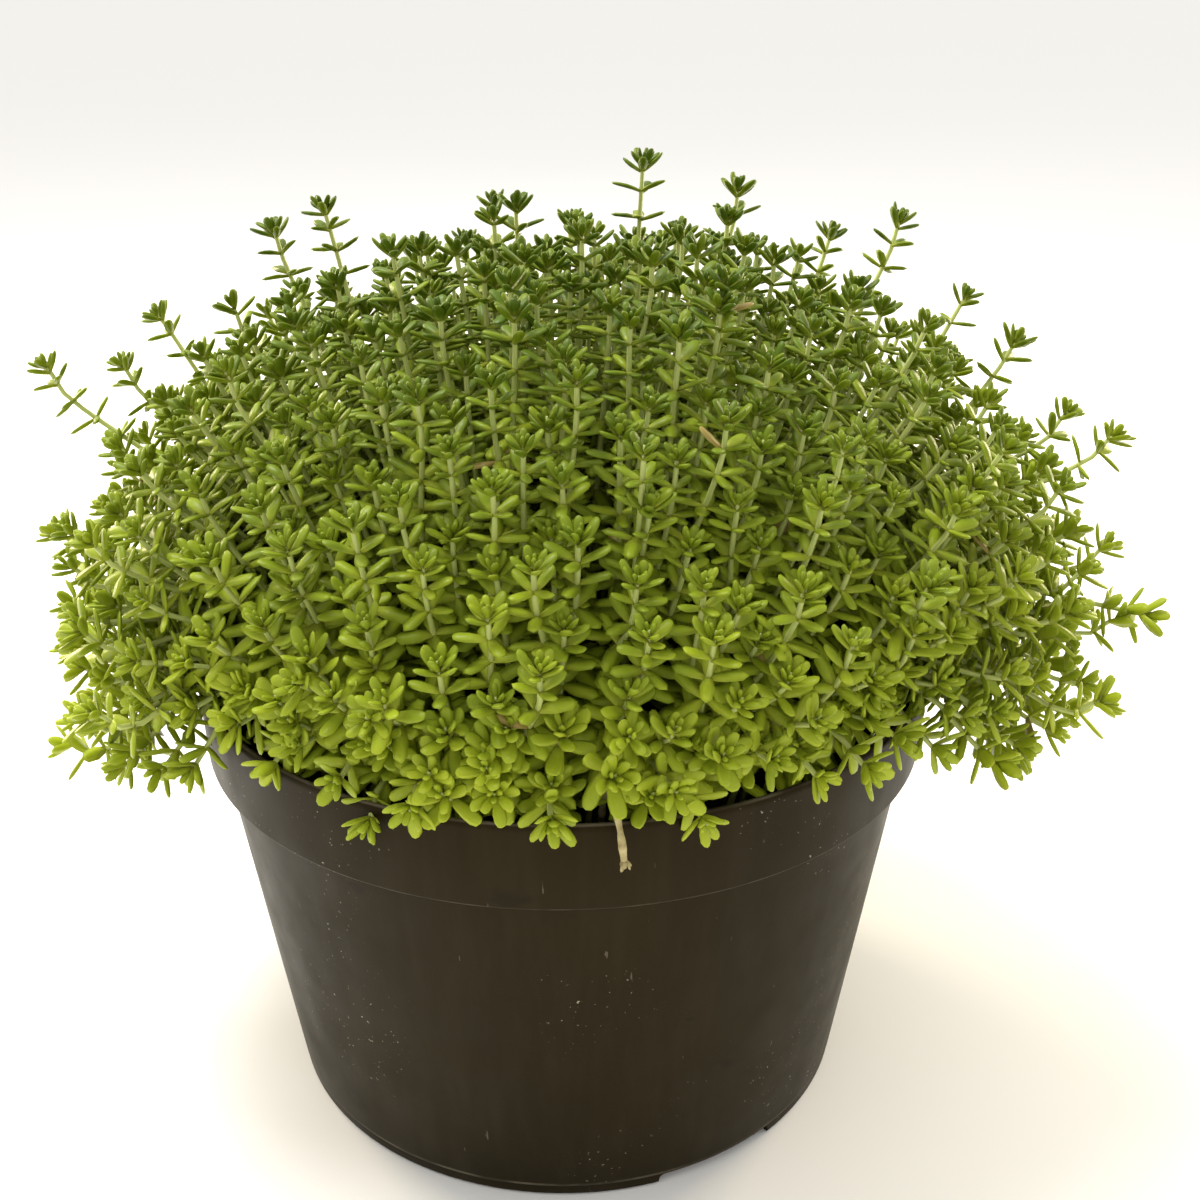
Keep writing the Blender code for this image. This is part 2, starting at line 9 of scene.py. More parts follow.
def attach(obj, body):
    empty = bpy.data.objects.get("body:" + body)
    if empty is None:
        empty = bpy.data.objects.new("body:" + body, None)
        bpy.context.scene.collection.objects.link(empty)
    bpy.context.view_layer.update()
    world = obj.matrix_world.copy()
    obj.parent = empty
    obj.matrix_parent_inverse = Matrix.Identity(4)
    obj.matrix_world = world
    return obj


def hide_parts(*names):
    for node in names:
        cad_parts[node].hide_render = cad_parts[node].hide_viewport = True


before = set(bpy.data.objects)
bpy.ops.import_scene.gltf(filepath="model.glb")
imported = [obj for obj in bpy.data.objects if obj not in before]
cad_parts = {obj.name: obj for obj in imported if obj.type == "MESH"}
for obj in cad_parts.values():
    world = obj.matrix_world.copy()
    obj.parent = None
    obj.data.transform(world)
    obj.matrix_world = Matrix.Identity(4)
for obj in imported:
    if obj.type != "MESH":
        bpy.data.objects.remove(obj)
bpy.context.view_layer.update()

MM = 0.001

# Pot and soil, as in the CAD source
RIM_RADIUS = 75 * MM
POT_HEIGHT = 95 * MM
COLLAR_HEIGHT = 18 * MM
COLLAR_FOOT_RADIUS = 74.2 * MM
BASE_RADIUS = 60.4 * MM
POT_WALL = 1.4 * MM
COLLAR_STEP = 2.9 * MM
FOOT_LINE_HEIGHT = 2.6 * MM
FOOT_LINE_STEP = 0.4 * MM
NOTCH_AZIMUTHS = (-60, 120)
NOTCH_DEPTH = 14 * MM
NOTCH_WIDTH = 27 * MM
NOTCH_HEIGHT = 2.5 * MM
NOTCH_ROUND = 1.3 * MM
DRAIN_AZIMUTHS = (30, 75, 210, 255)
DRAIN_RADIUS = 4 * MM
DRAIN_CIRCLE_RADIUS = 42 * MM
BASE_EDGE = 3 * MM
BASE_EDGE_LIFT = 0.3 * MM
COLLAR_UNDERCUT = 1.5 * MM
COLLAR_UNDERCUT_FLARE = 0.2 * MM
LIP_BAND = 1.2 * MM
POT_EDGE_ROUND = 0.55 * MM
POT_SIDES = 160
SOIL_TOP = 85 * MM
SOIL_CROWN = 1.5 * MM
SOIL_GAP = 0.35 * MM
SOIL_SIDES = 144
SOIL_RINGS = 30
SOIL_LUMPS = ((9, 1.3), (3.1, 0.8), (1.1, 0.45))
CRUMBS = 900
CRUMB_SIZES = (0.4, 0.5, 0.7, 0.9, 1.4)

# Dome that the tips lie on, as in the CAD source
DOME_CENTRE = np.array([3, 2, 100]) * MM
DOME_SIDE_REACH = 105 * MM
DOME_FRONT_REACH = 84 * MM
DOME_BACK_REACH = 102 * MM
DOME_TOP = 81 * MM
LOWEST_ANGLE_SIDE = math.radians(101)
LOWEST_ANGLE_FRONT = math.radians(74)
FRONT_SHARE_FROM = 0.30
FRONT_SHARE_TO = 0.77

# Tufts and their stems, as in the CAD source
TUFTS = 54
STEMS_A_TUFT = 3
ROOT_SPREAD = 63 * MM
GOLDEN_ANGLE = math.pi * (3 - math.sqrt(5))
SEED = 18
CROWN_SHARE = 0.40
LOW_CROWN_SHARE = 0.24
RISE_SHARE = 0.30
ROOT_SPLAY = 0.06
TIP_PULL = 0.30
RISE_OVER_RIM = 32 * MM
TIP_SPACING = 13.0 * MM
TIP_JITTER = 2 * MM
HEIGHT_JITTER = 4 * MM
LEAN_SIDE = math.radians(38)
LEAN_FRONT = math.radians(14)
DROOP = 2.2
STEM_FOOT_SHARE = 0.35
STEM_FOOT_APART = 2.6 * MM
LOW_STEM_FOOT_SHARE = 0.16
STEM_ROOT_APART = 2.4 * MM
STEM_LOW_APART = 2 * MM
STEM_ROOT_DEPTH = 1 * MM
TIP_LEADS = (12 * MM, 5 * MM)
ARRIVAL = 0.8
LOW_TUFT_ANGLE = math.radians(60)
FRONT_CROWDING = 0.2
FRONT_FLATTENING = 0.45
REACHES = (
    (-101, 0, 155), (-104, 0, 120), (-108, -4, 72), (-92, 20, 150), (-86, 30, 158),
    (-60, 32, 175), (-49, 30, 180), (17, 30, 189), (38, 40, 182), (60, 48, 171),
    (71, 30, 177), (84, 20, 163), (95, 18, 154), (105, 10, 141), (112, 0, 139),
    (114, 0, 115), (111, -20, 107), (98, -14, 84),
)
STUB_RADIUS = 0.8 * MM
STUB_ROUTE = (
    (6, -63, 78), (6, -63, 87), (6.5, -66, 95.5), (7.2, -71, 99.2),
    (8, -75.6, 98.6), (8.8, -78, 95), (9.4, -78.8, 90),
)

# Stems between those of the CAD source
FILL_SEED = 5
FILL_TRIES = 3600
FILL_APART = 8.9 * MM
FILL_APART_SHARES = (0.88, 1.12)
FILL_LOWEST_SIDE = math.radians(104)
FILL_LOWEST_FRONT = math.radians(90)
FILL_DEPTH = 11 * MM
FILL_ROOT_SHARE = 1.02
FILL_WOBBLE = 0.12
FILL_STEPS = (0.22, 0.45, 0.68, 0.86)

# Short stems that lean over the rim
RIM_STEMS = 64
RIM_STEM_ROOT = 63 * MM
RIM_STEM_REACH = (73 * MM, 80 * MM)
RIM_STEM_HEIGHT = (101 * MM, 118 * MM)
RIM_STEM_SHIFT = 0.35
RIM_STEM_ROOT_SHARES = (0.94, 1.04)
RIM_STEM_BEND = 7 * MM
RIM_STEM_BEND_DOWN = 9 * MM
RIM_STEM_BEND_LOWEST = 2 * MM
STUB_CLEAR = 6 * MM

# A long stem low on the right that ends in a rosette turned outward, in millimetres
SIDE_STEM = ((58, -6, 84), (66, -9, 104), (82, -13, 111), (100, -17, 109), (117, -20, 106))

# Fine stems and leaves
STEM_SIDES = 5
STEM_STEP = 4.4 * MM
STEM_THICK = 0.68 * MM
STEM_THIN = 0.48 * MM
STEM_SLIMMING = 0.94
STEM_END_SHARE = 0.5
STEM_END_DOWN = 1.5 * MM
LEAF_SIDES = 5
LEAF_LENGTH = 6.7 * MM
LUSHNESS = 0.22
LEAF_SLIMNESS = 0.43
LEAF_THICKNESS = 0.17
LEAF_STATIONS = (0.0, 0.26, 0.56, 0.80, 0.95)
LEAF_WIDTHS = (0.44, 0.80, 1.03, 0.96, 0.60)
LEAF_DEPTHS = (0.62, 0.86, 1.0, 0.86, 0.54)
PLAIN_SIDES = 4
PLAIN_STATIONS = (0.0, 0.42, 0.84)
PLAIN_WIDTHS = (0.46, 0.98, 0.84)
PLAIN_DEPTHS = (0.62, 1.0, 0.80)
PLAIN_FROM = 4
NODE_STEPS = (0.9, 1.5, 3.6, 4.8, 5.9, 6.5, 6.8, 7.0, 7.2)
WHORL_SIZES = (0.36, 0.60, 0.74, 0.80, 0.86, 0.92, 0.97, 1.0)
WHORL_ASCENTS = (66, 48, 36, 27, 18, 10, 3, -4, -10)
LEAFY_LENGTH = 48 * MM
LEAFY_LENGTH_BACK = 90 * MM
WITHERED_SHARE = 0.006
BACK_FROM = 10 * MM
BACK_TO = 60 * MM
FIRST_WHORL_DOWN = 1.6 * MM
BARE_FOOT = 9 * MM
NODE_STRETCHES = (0.88, 1.15)
VIGOURS = (0.86, 1.08)
FOUR_LEAF_SHARE = 0.7
LUSH_FROM = 150 * MM
LUSH_TO = 100 * MM
LEAF_TURN = 0.2
LEAF_RISE = 0.13
LEAF_SIZES = (0.86, 1.10)
LEAF_WIDTH_SHARES = (0.9, 1.12)
YOUNG_BENDS = (-0.04, 0.10)
OLD_BENDS = (-0.20, 0.04)
OLD_FROM = 3
OLDEST = 8
EDGE_UNEVENNESS = 0.16
LEAF_TOP_FLATNESS = 0.6

# Marks kept on the points: along a leaf from 0 to 1, and these
STEM_MARK = -1
WITHERED_MARK = 3

# The dead stem
STUB_SIDES = 10
STUB_STEP = 0.9 * MM
STUB_SLIMMING = 0.74
STUB_FIBRES = 7
FIBRE_LENGTHS = (0.9 * MM, 1.9 * MM)
FIBRE_WIDTH = 0.5 * MM

# The camera that the pot's outline in the photograph was fitted to
CAMERA_PLACE = Vector((0, -292.84, 232.24)) * MM
CAMERA_RIGHT = Vector((0.99968479, -0.02510573, 0.00020347))
CAMERA_UP = Vector((0.00999463, 0.40538451, 0.91409163))
CAMERA_FORWARD = Vector((0.02303142, 0.91380146, -0.40550765))
CAMERA_SENSOR = 36
CAMERA_LENS = 46.38

FLOOR_HALF = 60
LIGHT_AIM = Vector((0, 0, 0.11))


def smooth_step(low, high, value):
    share = min(max((value - low) / (high - low), 0), 1)
    return share * share * (3 - 2 * share)


def unit(vector):
    return vector / np.linalg.norm(vector)


def dome_point(polar, azimuth):
    """The point of the dome in this direction, with the way out and the way up its slope."""
    out = np.array([math.cos(azimuth), math.sin(azimuth), 0])
    front = smooth_step(FRONT_SHARE_FROM, FRONT_SHARE_TO, -out[1])
    back = max(out[1], 0) ** 2
    reach = DOME_SIDE_REACH
    reach += (DOME_FRONT_REACH - DOME_SIDE_REACH) * front
    reach += (DOME_BACK_REACH - DOME_SIDE_REACH) * back
    point = DOME_CENTRE + out * reach * math.sin(polar)
    point[2] += DOME_TOP * math.cos(polar)
    up_slope = -out * math.cos(polar)
    up_slope[2] = math.sin(polar)
    return point, out, up_slope, front


def tip_way(polar, out, front):
    """The way a tip points: upright on top, leaning out at the sides, drooping below."""
    lean = (LEAN_SIDE + (LEAN_FRONT - LEAN_SIDE) * front) * math.sin(polar) ** 2
    lean += DROOP * max(polar - math.pi / 2, 0)
    way = out * math.sin(lean)
    way[2] = math.cos(lean)
    return way


def tuft_rule():
    """Where each tuft's foot and tip lie: even over the soil, and even over the dome."""
    rule = []
    full = 1 - math.cos(LOWEST_ANGLE_SIDE)
    for number in range(TUFTS):
        share = (number + 0.5) / TUFTS
        azimuth = number * GOLDEN_ANGLE
        front = smooth_step(FRONT_SHARE_FROM, FRONT_SHARE_TO, -math.sin(azimuth))
        polar = math.acos(1 - share * full)
        polar *= 1 + (LOWEST_ANGLE_FRONT / LOWEST_ANGLE_SIDE - 1) * front
        root_radius = ROOT_SPREAD * math.sqrt(share)
        ground = root_radius * math.cos(azimuth), root_radius * math.sin(azimuth)
        rule.append((np.array([*ground, SOIL_TOP]), polar, azimuth))
    return rule


def curve_point(controls, share):
    """A point of a cubic curve and the way it runs there."""
    a, b, c, d = controls
    rest = 1 - share
    point = a * rest**3 + b * 3 * rest**2 * share + c * 3 * rest * share**2 + d * share**3
    way = (b - a) * rest**2 + (c - b) * 2 * rest * share + (d - c) * share**2
    return point, unit(way)


def tuft_route(root, tip, way):
    """The curve from a foot up out of the soil to its tip: the low ones first rise over the rim."""
    length = np.linalg.norm(tip - root)
    over_rim = smooth_step(RIM_RADIUS - 10 * MM, RIM_RADIUS + 12 * MM, np.linalg.norm(tip[:2]))
    over_rim *= smooth_step(POT_HEIGHT + 50 * MM, POT_HEIGHT, tip[2])
    rise = np.array([0, 0, RISE_SHARE * length + RISE_OVER_RIM * over_rim])
    splay = root * np.array([ROOT_SPLAY, ROOT_SPLAY, 0])
    return (root, root + rise + splay, tip - way * TIP_PULL * length, tip)


def frame_at(way, azimuth):
    """Two ways square to this one: along the parallel, and inward."""
    along = np.array([-math.sin(azimuth), math.cos(azimuth), 0])
    along = unit(along - way * np.dot(along, way))
    return along, np.cross(way, along)


def tufts_of_stems():
    """Each tuft's foot, tip and spin, and how far each stem's tip is from the tuft's."""
    draw = random.Random(SEED)
    tufts = []
    for root, polar, azimuth in tuft_rule():
        middle, out, up_slope, front = dome_point(polar, azimuth)
        way = tip_way(polar, out, front)
        spin = draw.uniform(0, math.pi)
        along = np.array([-math.sin(azimuth), math.cos(azimuth), 0])
        spacing = TIP_SPACING * (1 - FRONT_CROWDING * front)
        offsets = []
        for stem in range(STEMS_A_TUFT):
            angle = spin + (stem + 0.5) * 2 * math.pi / STEMS_A_TUFT
            offset = along * math.cos(angle)
            offset = offset + up_slope * math.sin(angle) * (1 - FRONT_FLATTENING * front)
            jitter = np.array([draw.uniform(-1, 1), draw.uniform(-1, 1), 0]) * TIP_JITTER
            offsets.append(offset * spacing + jitter + way * draw.uniform(-1, 1) * HEIGHT_JITTER)
        tufts.append({
            "number": len(tufts) + 1, "root": root, "tip": middle, "way": way, "azimuth": azimuth,
            "spin": spin, "offsets": offsets, "low": polar > LOW_TUFT_ANGLE,
        })
    return tufts


def stretch_to_reaches(tufts):
    """The nearest stem to each far tip is moved out to it."""
    taken = set()
    for reach in REACHES:
        target = np.array(reach) * MM
        choices = [(np.linalg.norm(tuft["tip"] + offset - target), number, stem)
                   for number, tuft in enumerate(tufts)
                   for stem, offset in enumerate(tuft["offsets"]) if (number, stem) not in taken]
        _, number, stem = min(choices)
        taken.add((number, stem))
        tufts[number]["offsets"][stem] = target - tufts[number]["tip"]


def stem_path(tuft, stem):
    """The middle line of a CAD stem: out of the soil, off its crown, and along its tip's way."""
    route = tuft_route(tuft["root"], tuft["tip"], tuft["way"])
    start = LOW_CROWN_SHARE if tuft["low"] else CROWN_SHARE
    share = start + (1 - start) * (LOW_STEM_FOOT_SHARE if tuft["low"] else STEM_FOOT_SHARE)
    offset = tuft["offsets"][stem]
    middle, middle_way = curve_point(route, share)
    along, inward = frame_at(middle_way, tuft["azimuth"])
    angle = tuft["spin"] + (stem + 0.5) * 2 * math.pi / STEMS_A_TUFT
    apart = along * math.cos(angle) + inward * math.sin(angle)
    kept_up = np.array([offset[0], offset[1], max(offset[2], 0)])
    middle = middle + apart * STEM_FOOT_APART + kept_up * share**2
    tip = tuft["tip"] + offset
    way = unit(tuft["way"] + unit(tip - middle) * ARRIVAL)
    low, _ = curve_point(route, start * 0.5)
    root = tuft["root"] + apart * STEM_ROOT_APART
    root[2] = SOIL_TOP - STEM_ROOT_DEPTH
    leads = [tip - way * lead for lead in TIP_LEADS]
    return [root, low + apart * STEM_LOW_APART, middle, *leads, tip]


def clear_of_stub(tip):
    """How far a tip is from the end of the dead stub."""
    return min(np.linalg.norm(tip - np.array(place) * MM) for place in STUB_ROUTE[-2:])


def fill_stems(tufts):
    """Stems in the gaps that the tufts leave, each given to the nearest tuft."""
    draw = random.Random(FILL_SEED)
    tips = [tuft["tip"] + offset for tuft in tufts for offset in tuft["offsets"]]
    middles = np.array([tuft["tip"] for tuft in tufts])
    full = 1 - math.cos(FILL_LOWEST_SIDE)
    order = list(range(FILL_TRIES))
    draw.shuffle(order)
    fills = []
    for number in order:
        azimuth = number * GOLDEN_ANGLE
        front = smooth_step(FRONT_SHARE_FROM, FRONT_SHARE_TO, -math.sin(azimuth))
        share = (number + 0.5) / FILL_TRIES
        polar = math.acos(1 - share * full)
        polar *= 1 + (FILL_LOWEST_FRONT / FILL_LOWEST_SIDE - 1) * front
        point, out, _, _ = dome_point(polar, azimuth)
        way = tip_way(polar, out, front)
        tip = point - way * draw.uniform(0, 1) * FILL_DEPTH
        apart = FILL_APART * draw.uniform(*FILL_APART_SHARES)
        nearest = np.linalg.norm(np.array(tips) - tip, axis=1).min()
        if nearest < apart or clear_of_stub(tip) < STUB_CLEAR:
            continue
        tips.append(tip)
        owner = int(np.linalg.norm(middles - tip, axis=1).argmin())
        spread = ROOT_SPREAD * math.sqrt(share) * FILL_ROOT_SHARE
        root = np.array([spread * math.cos(azimuth), spread * math.sin(azimuth), SOIL_TOP])
        wobble = np.array([draw.uniform(-1, 1), draw.uniform(-1, 1), 0]) * FILL_WOBBLE
        way = unit(way + wobble)
        controls = tuft_route(root, tip, way)
        path = [root - np.array([0, 0, STEM_ROOT_DEPTH])]
        path.extend(curve_point(controls, step)[0] for step in FILL_STEPS)
        path.append(tip)
        fills.append((owner, path))
    return fills


def rim_stems(tufts):
    """Short stems just inside the rim that lean over it, each given to the nearest tuft."""
    draw = random.Random(FILL_SEED + 1)
    roots = np.array([tuft["root"] for tuft in tufts])
    stems = []
    for number in range(RIM_STEMS):
        shift = draw.uniform(-RIM_STEM_SHIFT, RIM_STEM_SHIFT)
        azimuth = 2 * math.pi * (number + shift) / RIM_STEMS
        out = np.array([math.cos(azimuth), math.sin(azimuth), 0])
        height = draw.uniform(*RIM_STEM_HEIGHT)
        tip = out * draw.uniform(*RIM_STEM_REACH)
        tip[2] = height
        if clear_of_stub(tip) < STUB_CLEAR:
            continue
        root = out * RIM_STEM_ROOT * draw.uniform(*RIM_STEM_ROOT_SHARES)
        root[2] = SOIL_TOP - STEM_ROOT_DEPTH
        middle = out * (RIM_RADIUS - RIM_STEM_BEND)
        middle[2] = max(height - RIM_STEM_BEND_DOWN, POT_HEIGHT - RIM_STEM_BEND_LOWEST)
        owner = int(np.linalg.norm(roots - root, axis=1).argmin())
        stems.append((owner, [root, (root + middle) / 2, middle, tip]))
    return stems


def smooth_line(path, step):
    """Even points on a smooth curve through the path's own, with the way at each."""
    path = [np.array(point, dtype=float) for point in path]
    full = [2 * path[0] - path[1], *path, 2 * path[-1] - path[-2]]
    dense = []
    for a, b, c, d in zip(full, full[1:], full[2:], full[3:]):
        for part in range(8):
            t = part / 8
            dense.append(0.5 * ((2 * b) + (c - a) * t + (2 * a - 5 * b + 4 * c - d) * t**2
                                + (3 * b - a - 3 * c + d) * t**3))
    dense.append(path[-1])
    dense = np.array(dense)
    runs = np.concatenate([[0], np.cumsum(np.linalg.norm(np.diff(dense, axis=0), axis=1))])
    count = max(4, int(round(runs[-1] / step)) + 1)
    wanted = np.linspace(0, runs[-1], count)
    points = np.stack([np.interp(wanted, runs, dense[:, axis]) for axis in range(3)], axis=1)
    ways = np.gradient(points, axis=0)
    ways /= np.linalg.norm(ways, axis=1)[:, None]
    return points, ways, wanted


def carried_frames(ways, first):
    """A side way at each point, carried along the line without twist."""
    side = unit(first - ways[0] * np.dot(first, ways[0]))
    sides = []
    for way in ways:
        side = unit(side - way * np.dot(side, way))
        sides.append(side)
    return np.array(sides)


class Build:
    """Points, faces and three numbers a point for one piece."""

    def __init__(self):
        self.points = []
        self.faces = []
        self.marks = []
        self.count = 0

    def add(self, points, faces, marks):
        self.points.append(np.asarray(points))
        self.marks.append(np.asarray(marks))
        self.faces.extend(tuple(self.count + corner for corner in face) for face in faces)
        self.count += len(points)

    def finish(self, name, material):
        """The piece as a mesh object with its numbers kept on its points."""
        mesh = bpy.data.meshes.new(name)
        mesh.from_pydata(np.concatenate(self.points).tolist(), [], self.faces)
        marks = np.concatenate(self.marks)
        for column, label in enumerate(("run", "tone", "age")):
            held = mesh.attributes.new(label, "FLOAT", "POINT")
            held.data.foreach_set("value", marks[:, column].astype(np.float32))
        return dress(mesh, name, material)


def dress(mesh, name, material):
    mesh.shade_smooth()
    mesh.materials.append(material)
    obj = bpy.data.objects.new(name, mesh)
    bpy.context.scene.collection.objects.link(obj)
    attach(obj, "root")
    return obj


def leaf_template(stations, widths, depths, sides):
    """A plump blunt leaf of length 1 along Z: rings of points, its end point, and its faces."""
    points = []
    for station, width, depth in zip(stations, widths, depths):
        for side in range(sides):
            angle = 2 * math.pi * side / sides - math.pi / 2
            y = math.sin(angle) * depth / 2
            flatness = LEAF_TOP_FLATNESS if y > 0 else 1
            points.append((math.cos(angle) * width / 2, y * flatness, station))
    points.append((0, 0, 1))
    faces = []
    for ring in range(len(stations) - 1):
        for side in range(sides):
            after = (side + 1) % sides
            low = ring * sides
            faces.append((low + side, low + after, low + sides + after, low + sides + side))
    last = len(points) - 1
    for side in range(sides):
        after = (side + 1) % sides
        faces.append((last - sides + side, last - sides + after, last))
    faces.append(tuple(reversed(range(sides))))
    return np.array(points), faces


FINE_LEAF = leaf_template(LEAF_STATIONS, LEAF_WIDTHS, LEAF_DEPTHS, LEAF_SIDES)
PLAIN_LEAF = leaf_template(PLAIN_STATIONS, PLAIN_WIDTHS, PLAIN_DEPTHS, PLAIN_SIDES)


def add_leaf(build, shape, start, run, normal, length, width, bend, tone, age,
             rough=None, withered=False):
    """One leaf: flat side towards normal, its end bent that way by a share of its length."""
    points, faces = shape
    across = unit(np.cross(run, normal))
    normal = np.cross(across, run)
    reach = points[:, 2:3]
    lift = bend * length * reach**2
    wide = width * (1 + (rough * reach**2 if rough is not None else 0))
    thick = points[:, 1:2] * LEAF_THICKNESS * LEAF_LENGTH
    placed = start + across * points[:, 0:1] * wide + normal * (thick + lift) + run * reach * length
    count = len(points)
    runs = points[:, 2] + (WITHERED_MARK if withered else 0)
    marks = np.stack([runs, np.full(count, tone), np.full(count, age)], axis=1)
    build.add(placed, faces, marks)


def add_whorl(build, draw, centre, way, side, turn, leaves, number, vigour):
    """Leaves round a stem, all rising by about the same angle."""
    other = np.cross(way, side)
    age = min(number / OLDEST, 1)
    length = LEAF_LENGTH * vigour * WHORL_SIZES[min(number, len(WHORL_SIZES) - 1)]
    ascent = math.radians(WHORL_ASCENTS[min(number, len(WHORL_ASCENTS) - 1)])
    shape = FINE_LEAF if number < PLAIN_FROM else PLAIN_LEAF
    for leaf in range(leaves):
        angle = turn + 2 * math.pi * leaf / leaves + draw.uniform(-LEAF_TURN, LEAF_TURN)
        outward = side * math.cos(angle) + other * math.sin(angle)
        rise = ascent + draw.gauss(0, LEAF_RISE)
        run = outward * math.cos(rise) + way * math.sin(rise)
        normal = way * math.cos(rise) - outward * math.sin(rise)
        size = length * draw.uniform(*LEAF_SIZES)
        width = size * LEAF_SLIMNESS * draw.uniform(*LEAF_WIDTH_SHARES)
        place = centre + outward * STEM_THIN * 0.4 + way * draw.uniform(-0.3, 0.3) * MM
        bend = draw.uniform(*(YOUNG_BENDS if number < OLD_FROM else OLD_BENDS))
        withered = number >= PLAIN_FROM - 1 and draw.random() < WITHERED_SHARE
        rough = np.array([[draw.uniform(-EDGE_UNEVENNESS, EDGE_UNEVENNESS)] for _ in shape[0]])
        add_leaf(build, shape, place, run, normal, size, width, bend, draw.random(), age,
                 rough, withered)


def add_stem(build, draw, path, leafy):
    """A stem with whorls from its tip down as far as its leafy length."""
    points, ways, runs = smooth_line(path, STEM_STEP)
    points[-1] -= ways[-1] * STEM_END_DOWN
    first = np.array([draw.uniform(-1, 1), draw.uniform(-1, 1), draw.uniform(-0.2, 0.2)])
    sides = carried_frames(ways, first)
    length = runs[-1]
    tone = draw.random()
    thick = STEM_THICK + (STEM_THIN - STEM_THICK) * (runs / length) ** 2
    thick = thick * STEM_SLIMMING
    thick[-1] *= STEM_END_SHARE
    ring_points = []
    marks = []
    for point, way, side, radius, run in zip(points, ways, sides, thick, runs):
        other = np.cross(way, side)
        for step in range(STEM_SIDES):
            angle = 2 * math.pi * step / STEM_SIDES
            ring_points.append(point + (side * math.cos(angle) + other * math.sin(angle)) * radius)
            marks.append((STEM_MARK, tone, run / length))
    faces = []
    for ring in range(len(points) - 1):
        for step in range(STEM_SIDES):
            after = (step + 1) % STEM_SIDES
            low = ring * STEM_SIDES
            high = low + STEM_SIDES
            faces.append((low + step, low + after, high + after, high + step))
    faces.append(tuple(reversed(range(STEM_SIDES))))
    faces.append(tuple(range(len(ring_points) - STEM_SIDES, len(ring_points))))
    build.add(ring_points, faces, marks)

    down = FIRST_WHORL_DOWN
    turn = draw.uniform(0, math.pi)
    stretch = draw.uniform(*NODE_STRETCHES)
    vigour = draw.uniform(*VIGOURS)
    number = 0
    while down < min(length - BARE_FOOT, leafy):
        place = length - down
        centre = np.array([np.interp(place, runs, points[:, axis]) for axis in range(3)])
        way = unit(np.array([np.interp(place, runs, ways[:, axis]) for axis in range(3)]))
        side = np.array([np.interp(place, runs, sides[:, axis]) for axis in range(3)])
        side = unit(side - way * np.dot(side, way))
        leaves = 4 if draw.random() < FOUR_LEAF_SHARE and number > 0 else 3
        lush = 1 + LUSHNESS * smooth_step(LUSH_FROM, LUSH_TO, centre[2])
        add_whorl(build, draw, centre, way, side, turn, leaves, number, vigour * lush)
        turn += math.pi / leaves + draw.uniform(-0.12, 0.12)
        down += NODE_STEPS[min(number, len(NODE_STEPS) - 1)] * MM * stretch
        number += 1


def make_plant(green):
    """One piece a tuft: its CAD stems and the stems between them that were given to it."""
    tufts = tufts_of_stems()
    stretch_to_reaches(tufts)
    fills = fill_stems(tufts) + rim_stems(tufts)
    side_stem = [np.array(place) * MM for place in SIDE_STEM]
    far = [np.linalg.norm(tuft["tip"] - side_stem[-1]) for tuft in tufts]
    fills.append((far.index(min(far)), side_stem))
    draw = random.Random(SEED + 1)
    for number, tuft in enumerate(tufts):
        build = Build()
        paths = [stem_path(tuft, stem) for stem in range(STEMS_A_TUFT)]
        paths.extend(path for owner, path in fills if owner == number)
        for path in paths:
            behind = smooth_step(BACK_FROM, BACK_TO, path[-1][1])
            leafy = LEAFY_LENGTH + (LEAFY_LENGTH_BACK - LEAFY_LENGTH) * behind
            add_stem(build, draw, path, leafy)
        name = f"leafy_stems_{tuft['number']:02d}"
        piece = build.finish(name + "_fine", green)
        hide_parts(name)


def turned(profile, sides):
    """Points and faces of a profile turned about Z. It starts and ends on the axis."""
    points = [(0, 0, profile[0][1])]
    for radius, height in profile[1:-1]:
        for side in range(sides):
            angle = 2 * math.pi * side / sides
            points.append((radius * math.cos(angle), radius * math.sin(angle), height))
    points.append((0, 0, profile[-1][1]))
    faces = []
    last = len(points) - 1
    for side in range(sides):
        after = (side + 1) % sides
        faces.append((0, 1 + after, 1 + side))
        faces.append((last, last - sides + side, last - sides + after))
        for ring in range(len(profile) - 3):
            low = 1 + ring * sides
            faces.append((low + side, low + after, low + sides + after, low + sides + side))
    return points, faces


def rounded(profile, radius, steps):
    """The profile with each inner corner cut to a small arc."""
    made = [profile[0]]
    for before, corner, after in zip(profile, profile[1:], profile[2:]):
        a, b, c = (np.array(point) for point in (before, corner, after))
        reach = min(radius, np.linalg.norm(a - b) * 0.4, np.linalg.norm(c - b) * 0.4)
        start = b + unit(a - b) * reach
        end = b + unit(c - b) * reach
        for step in range(steps + 1):
            t = step / steps
            made.append(tuple(start * (1 - t) ** 2 + b * 2 * t * (1 - t) + end * t**2))
    made.append(profile[-1])
    return made


def hard_cut(obj, points, faces):
    """Takes a closed shape out of an object for good."""
    mesh = bpy.data.meshes.new("cutter")
    mesh.from_pydata(points, [], faces)
    cutter = bpy.data.objects.new("cutter", mesh)
    bpy.context.scene.collection.objects.link(cutter)
    modifier = obj.modifiers.new("cut", "BOOLEAN")
    modifier.operation = "DIFFERENCE"
    modifier.object = cutter
    graph = bpy.context.evaluated_depsgraph_get()
    done = bpy.data.meshes.new_from_object(obj.evaluated_get(graph))
    obj.modifiers.clear()
    obj.data = done
    bpy.data.objects.remove(cutter)


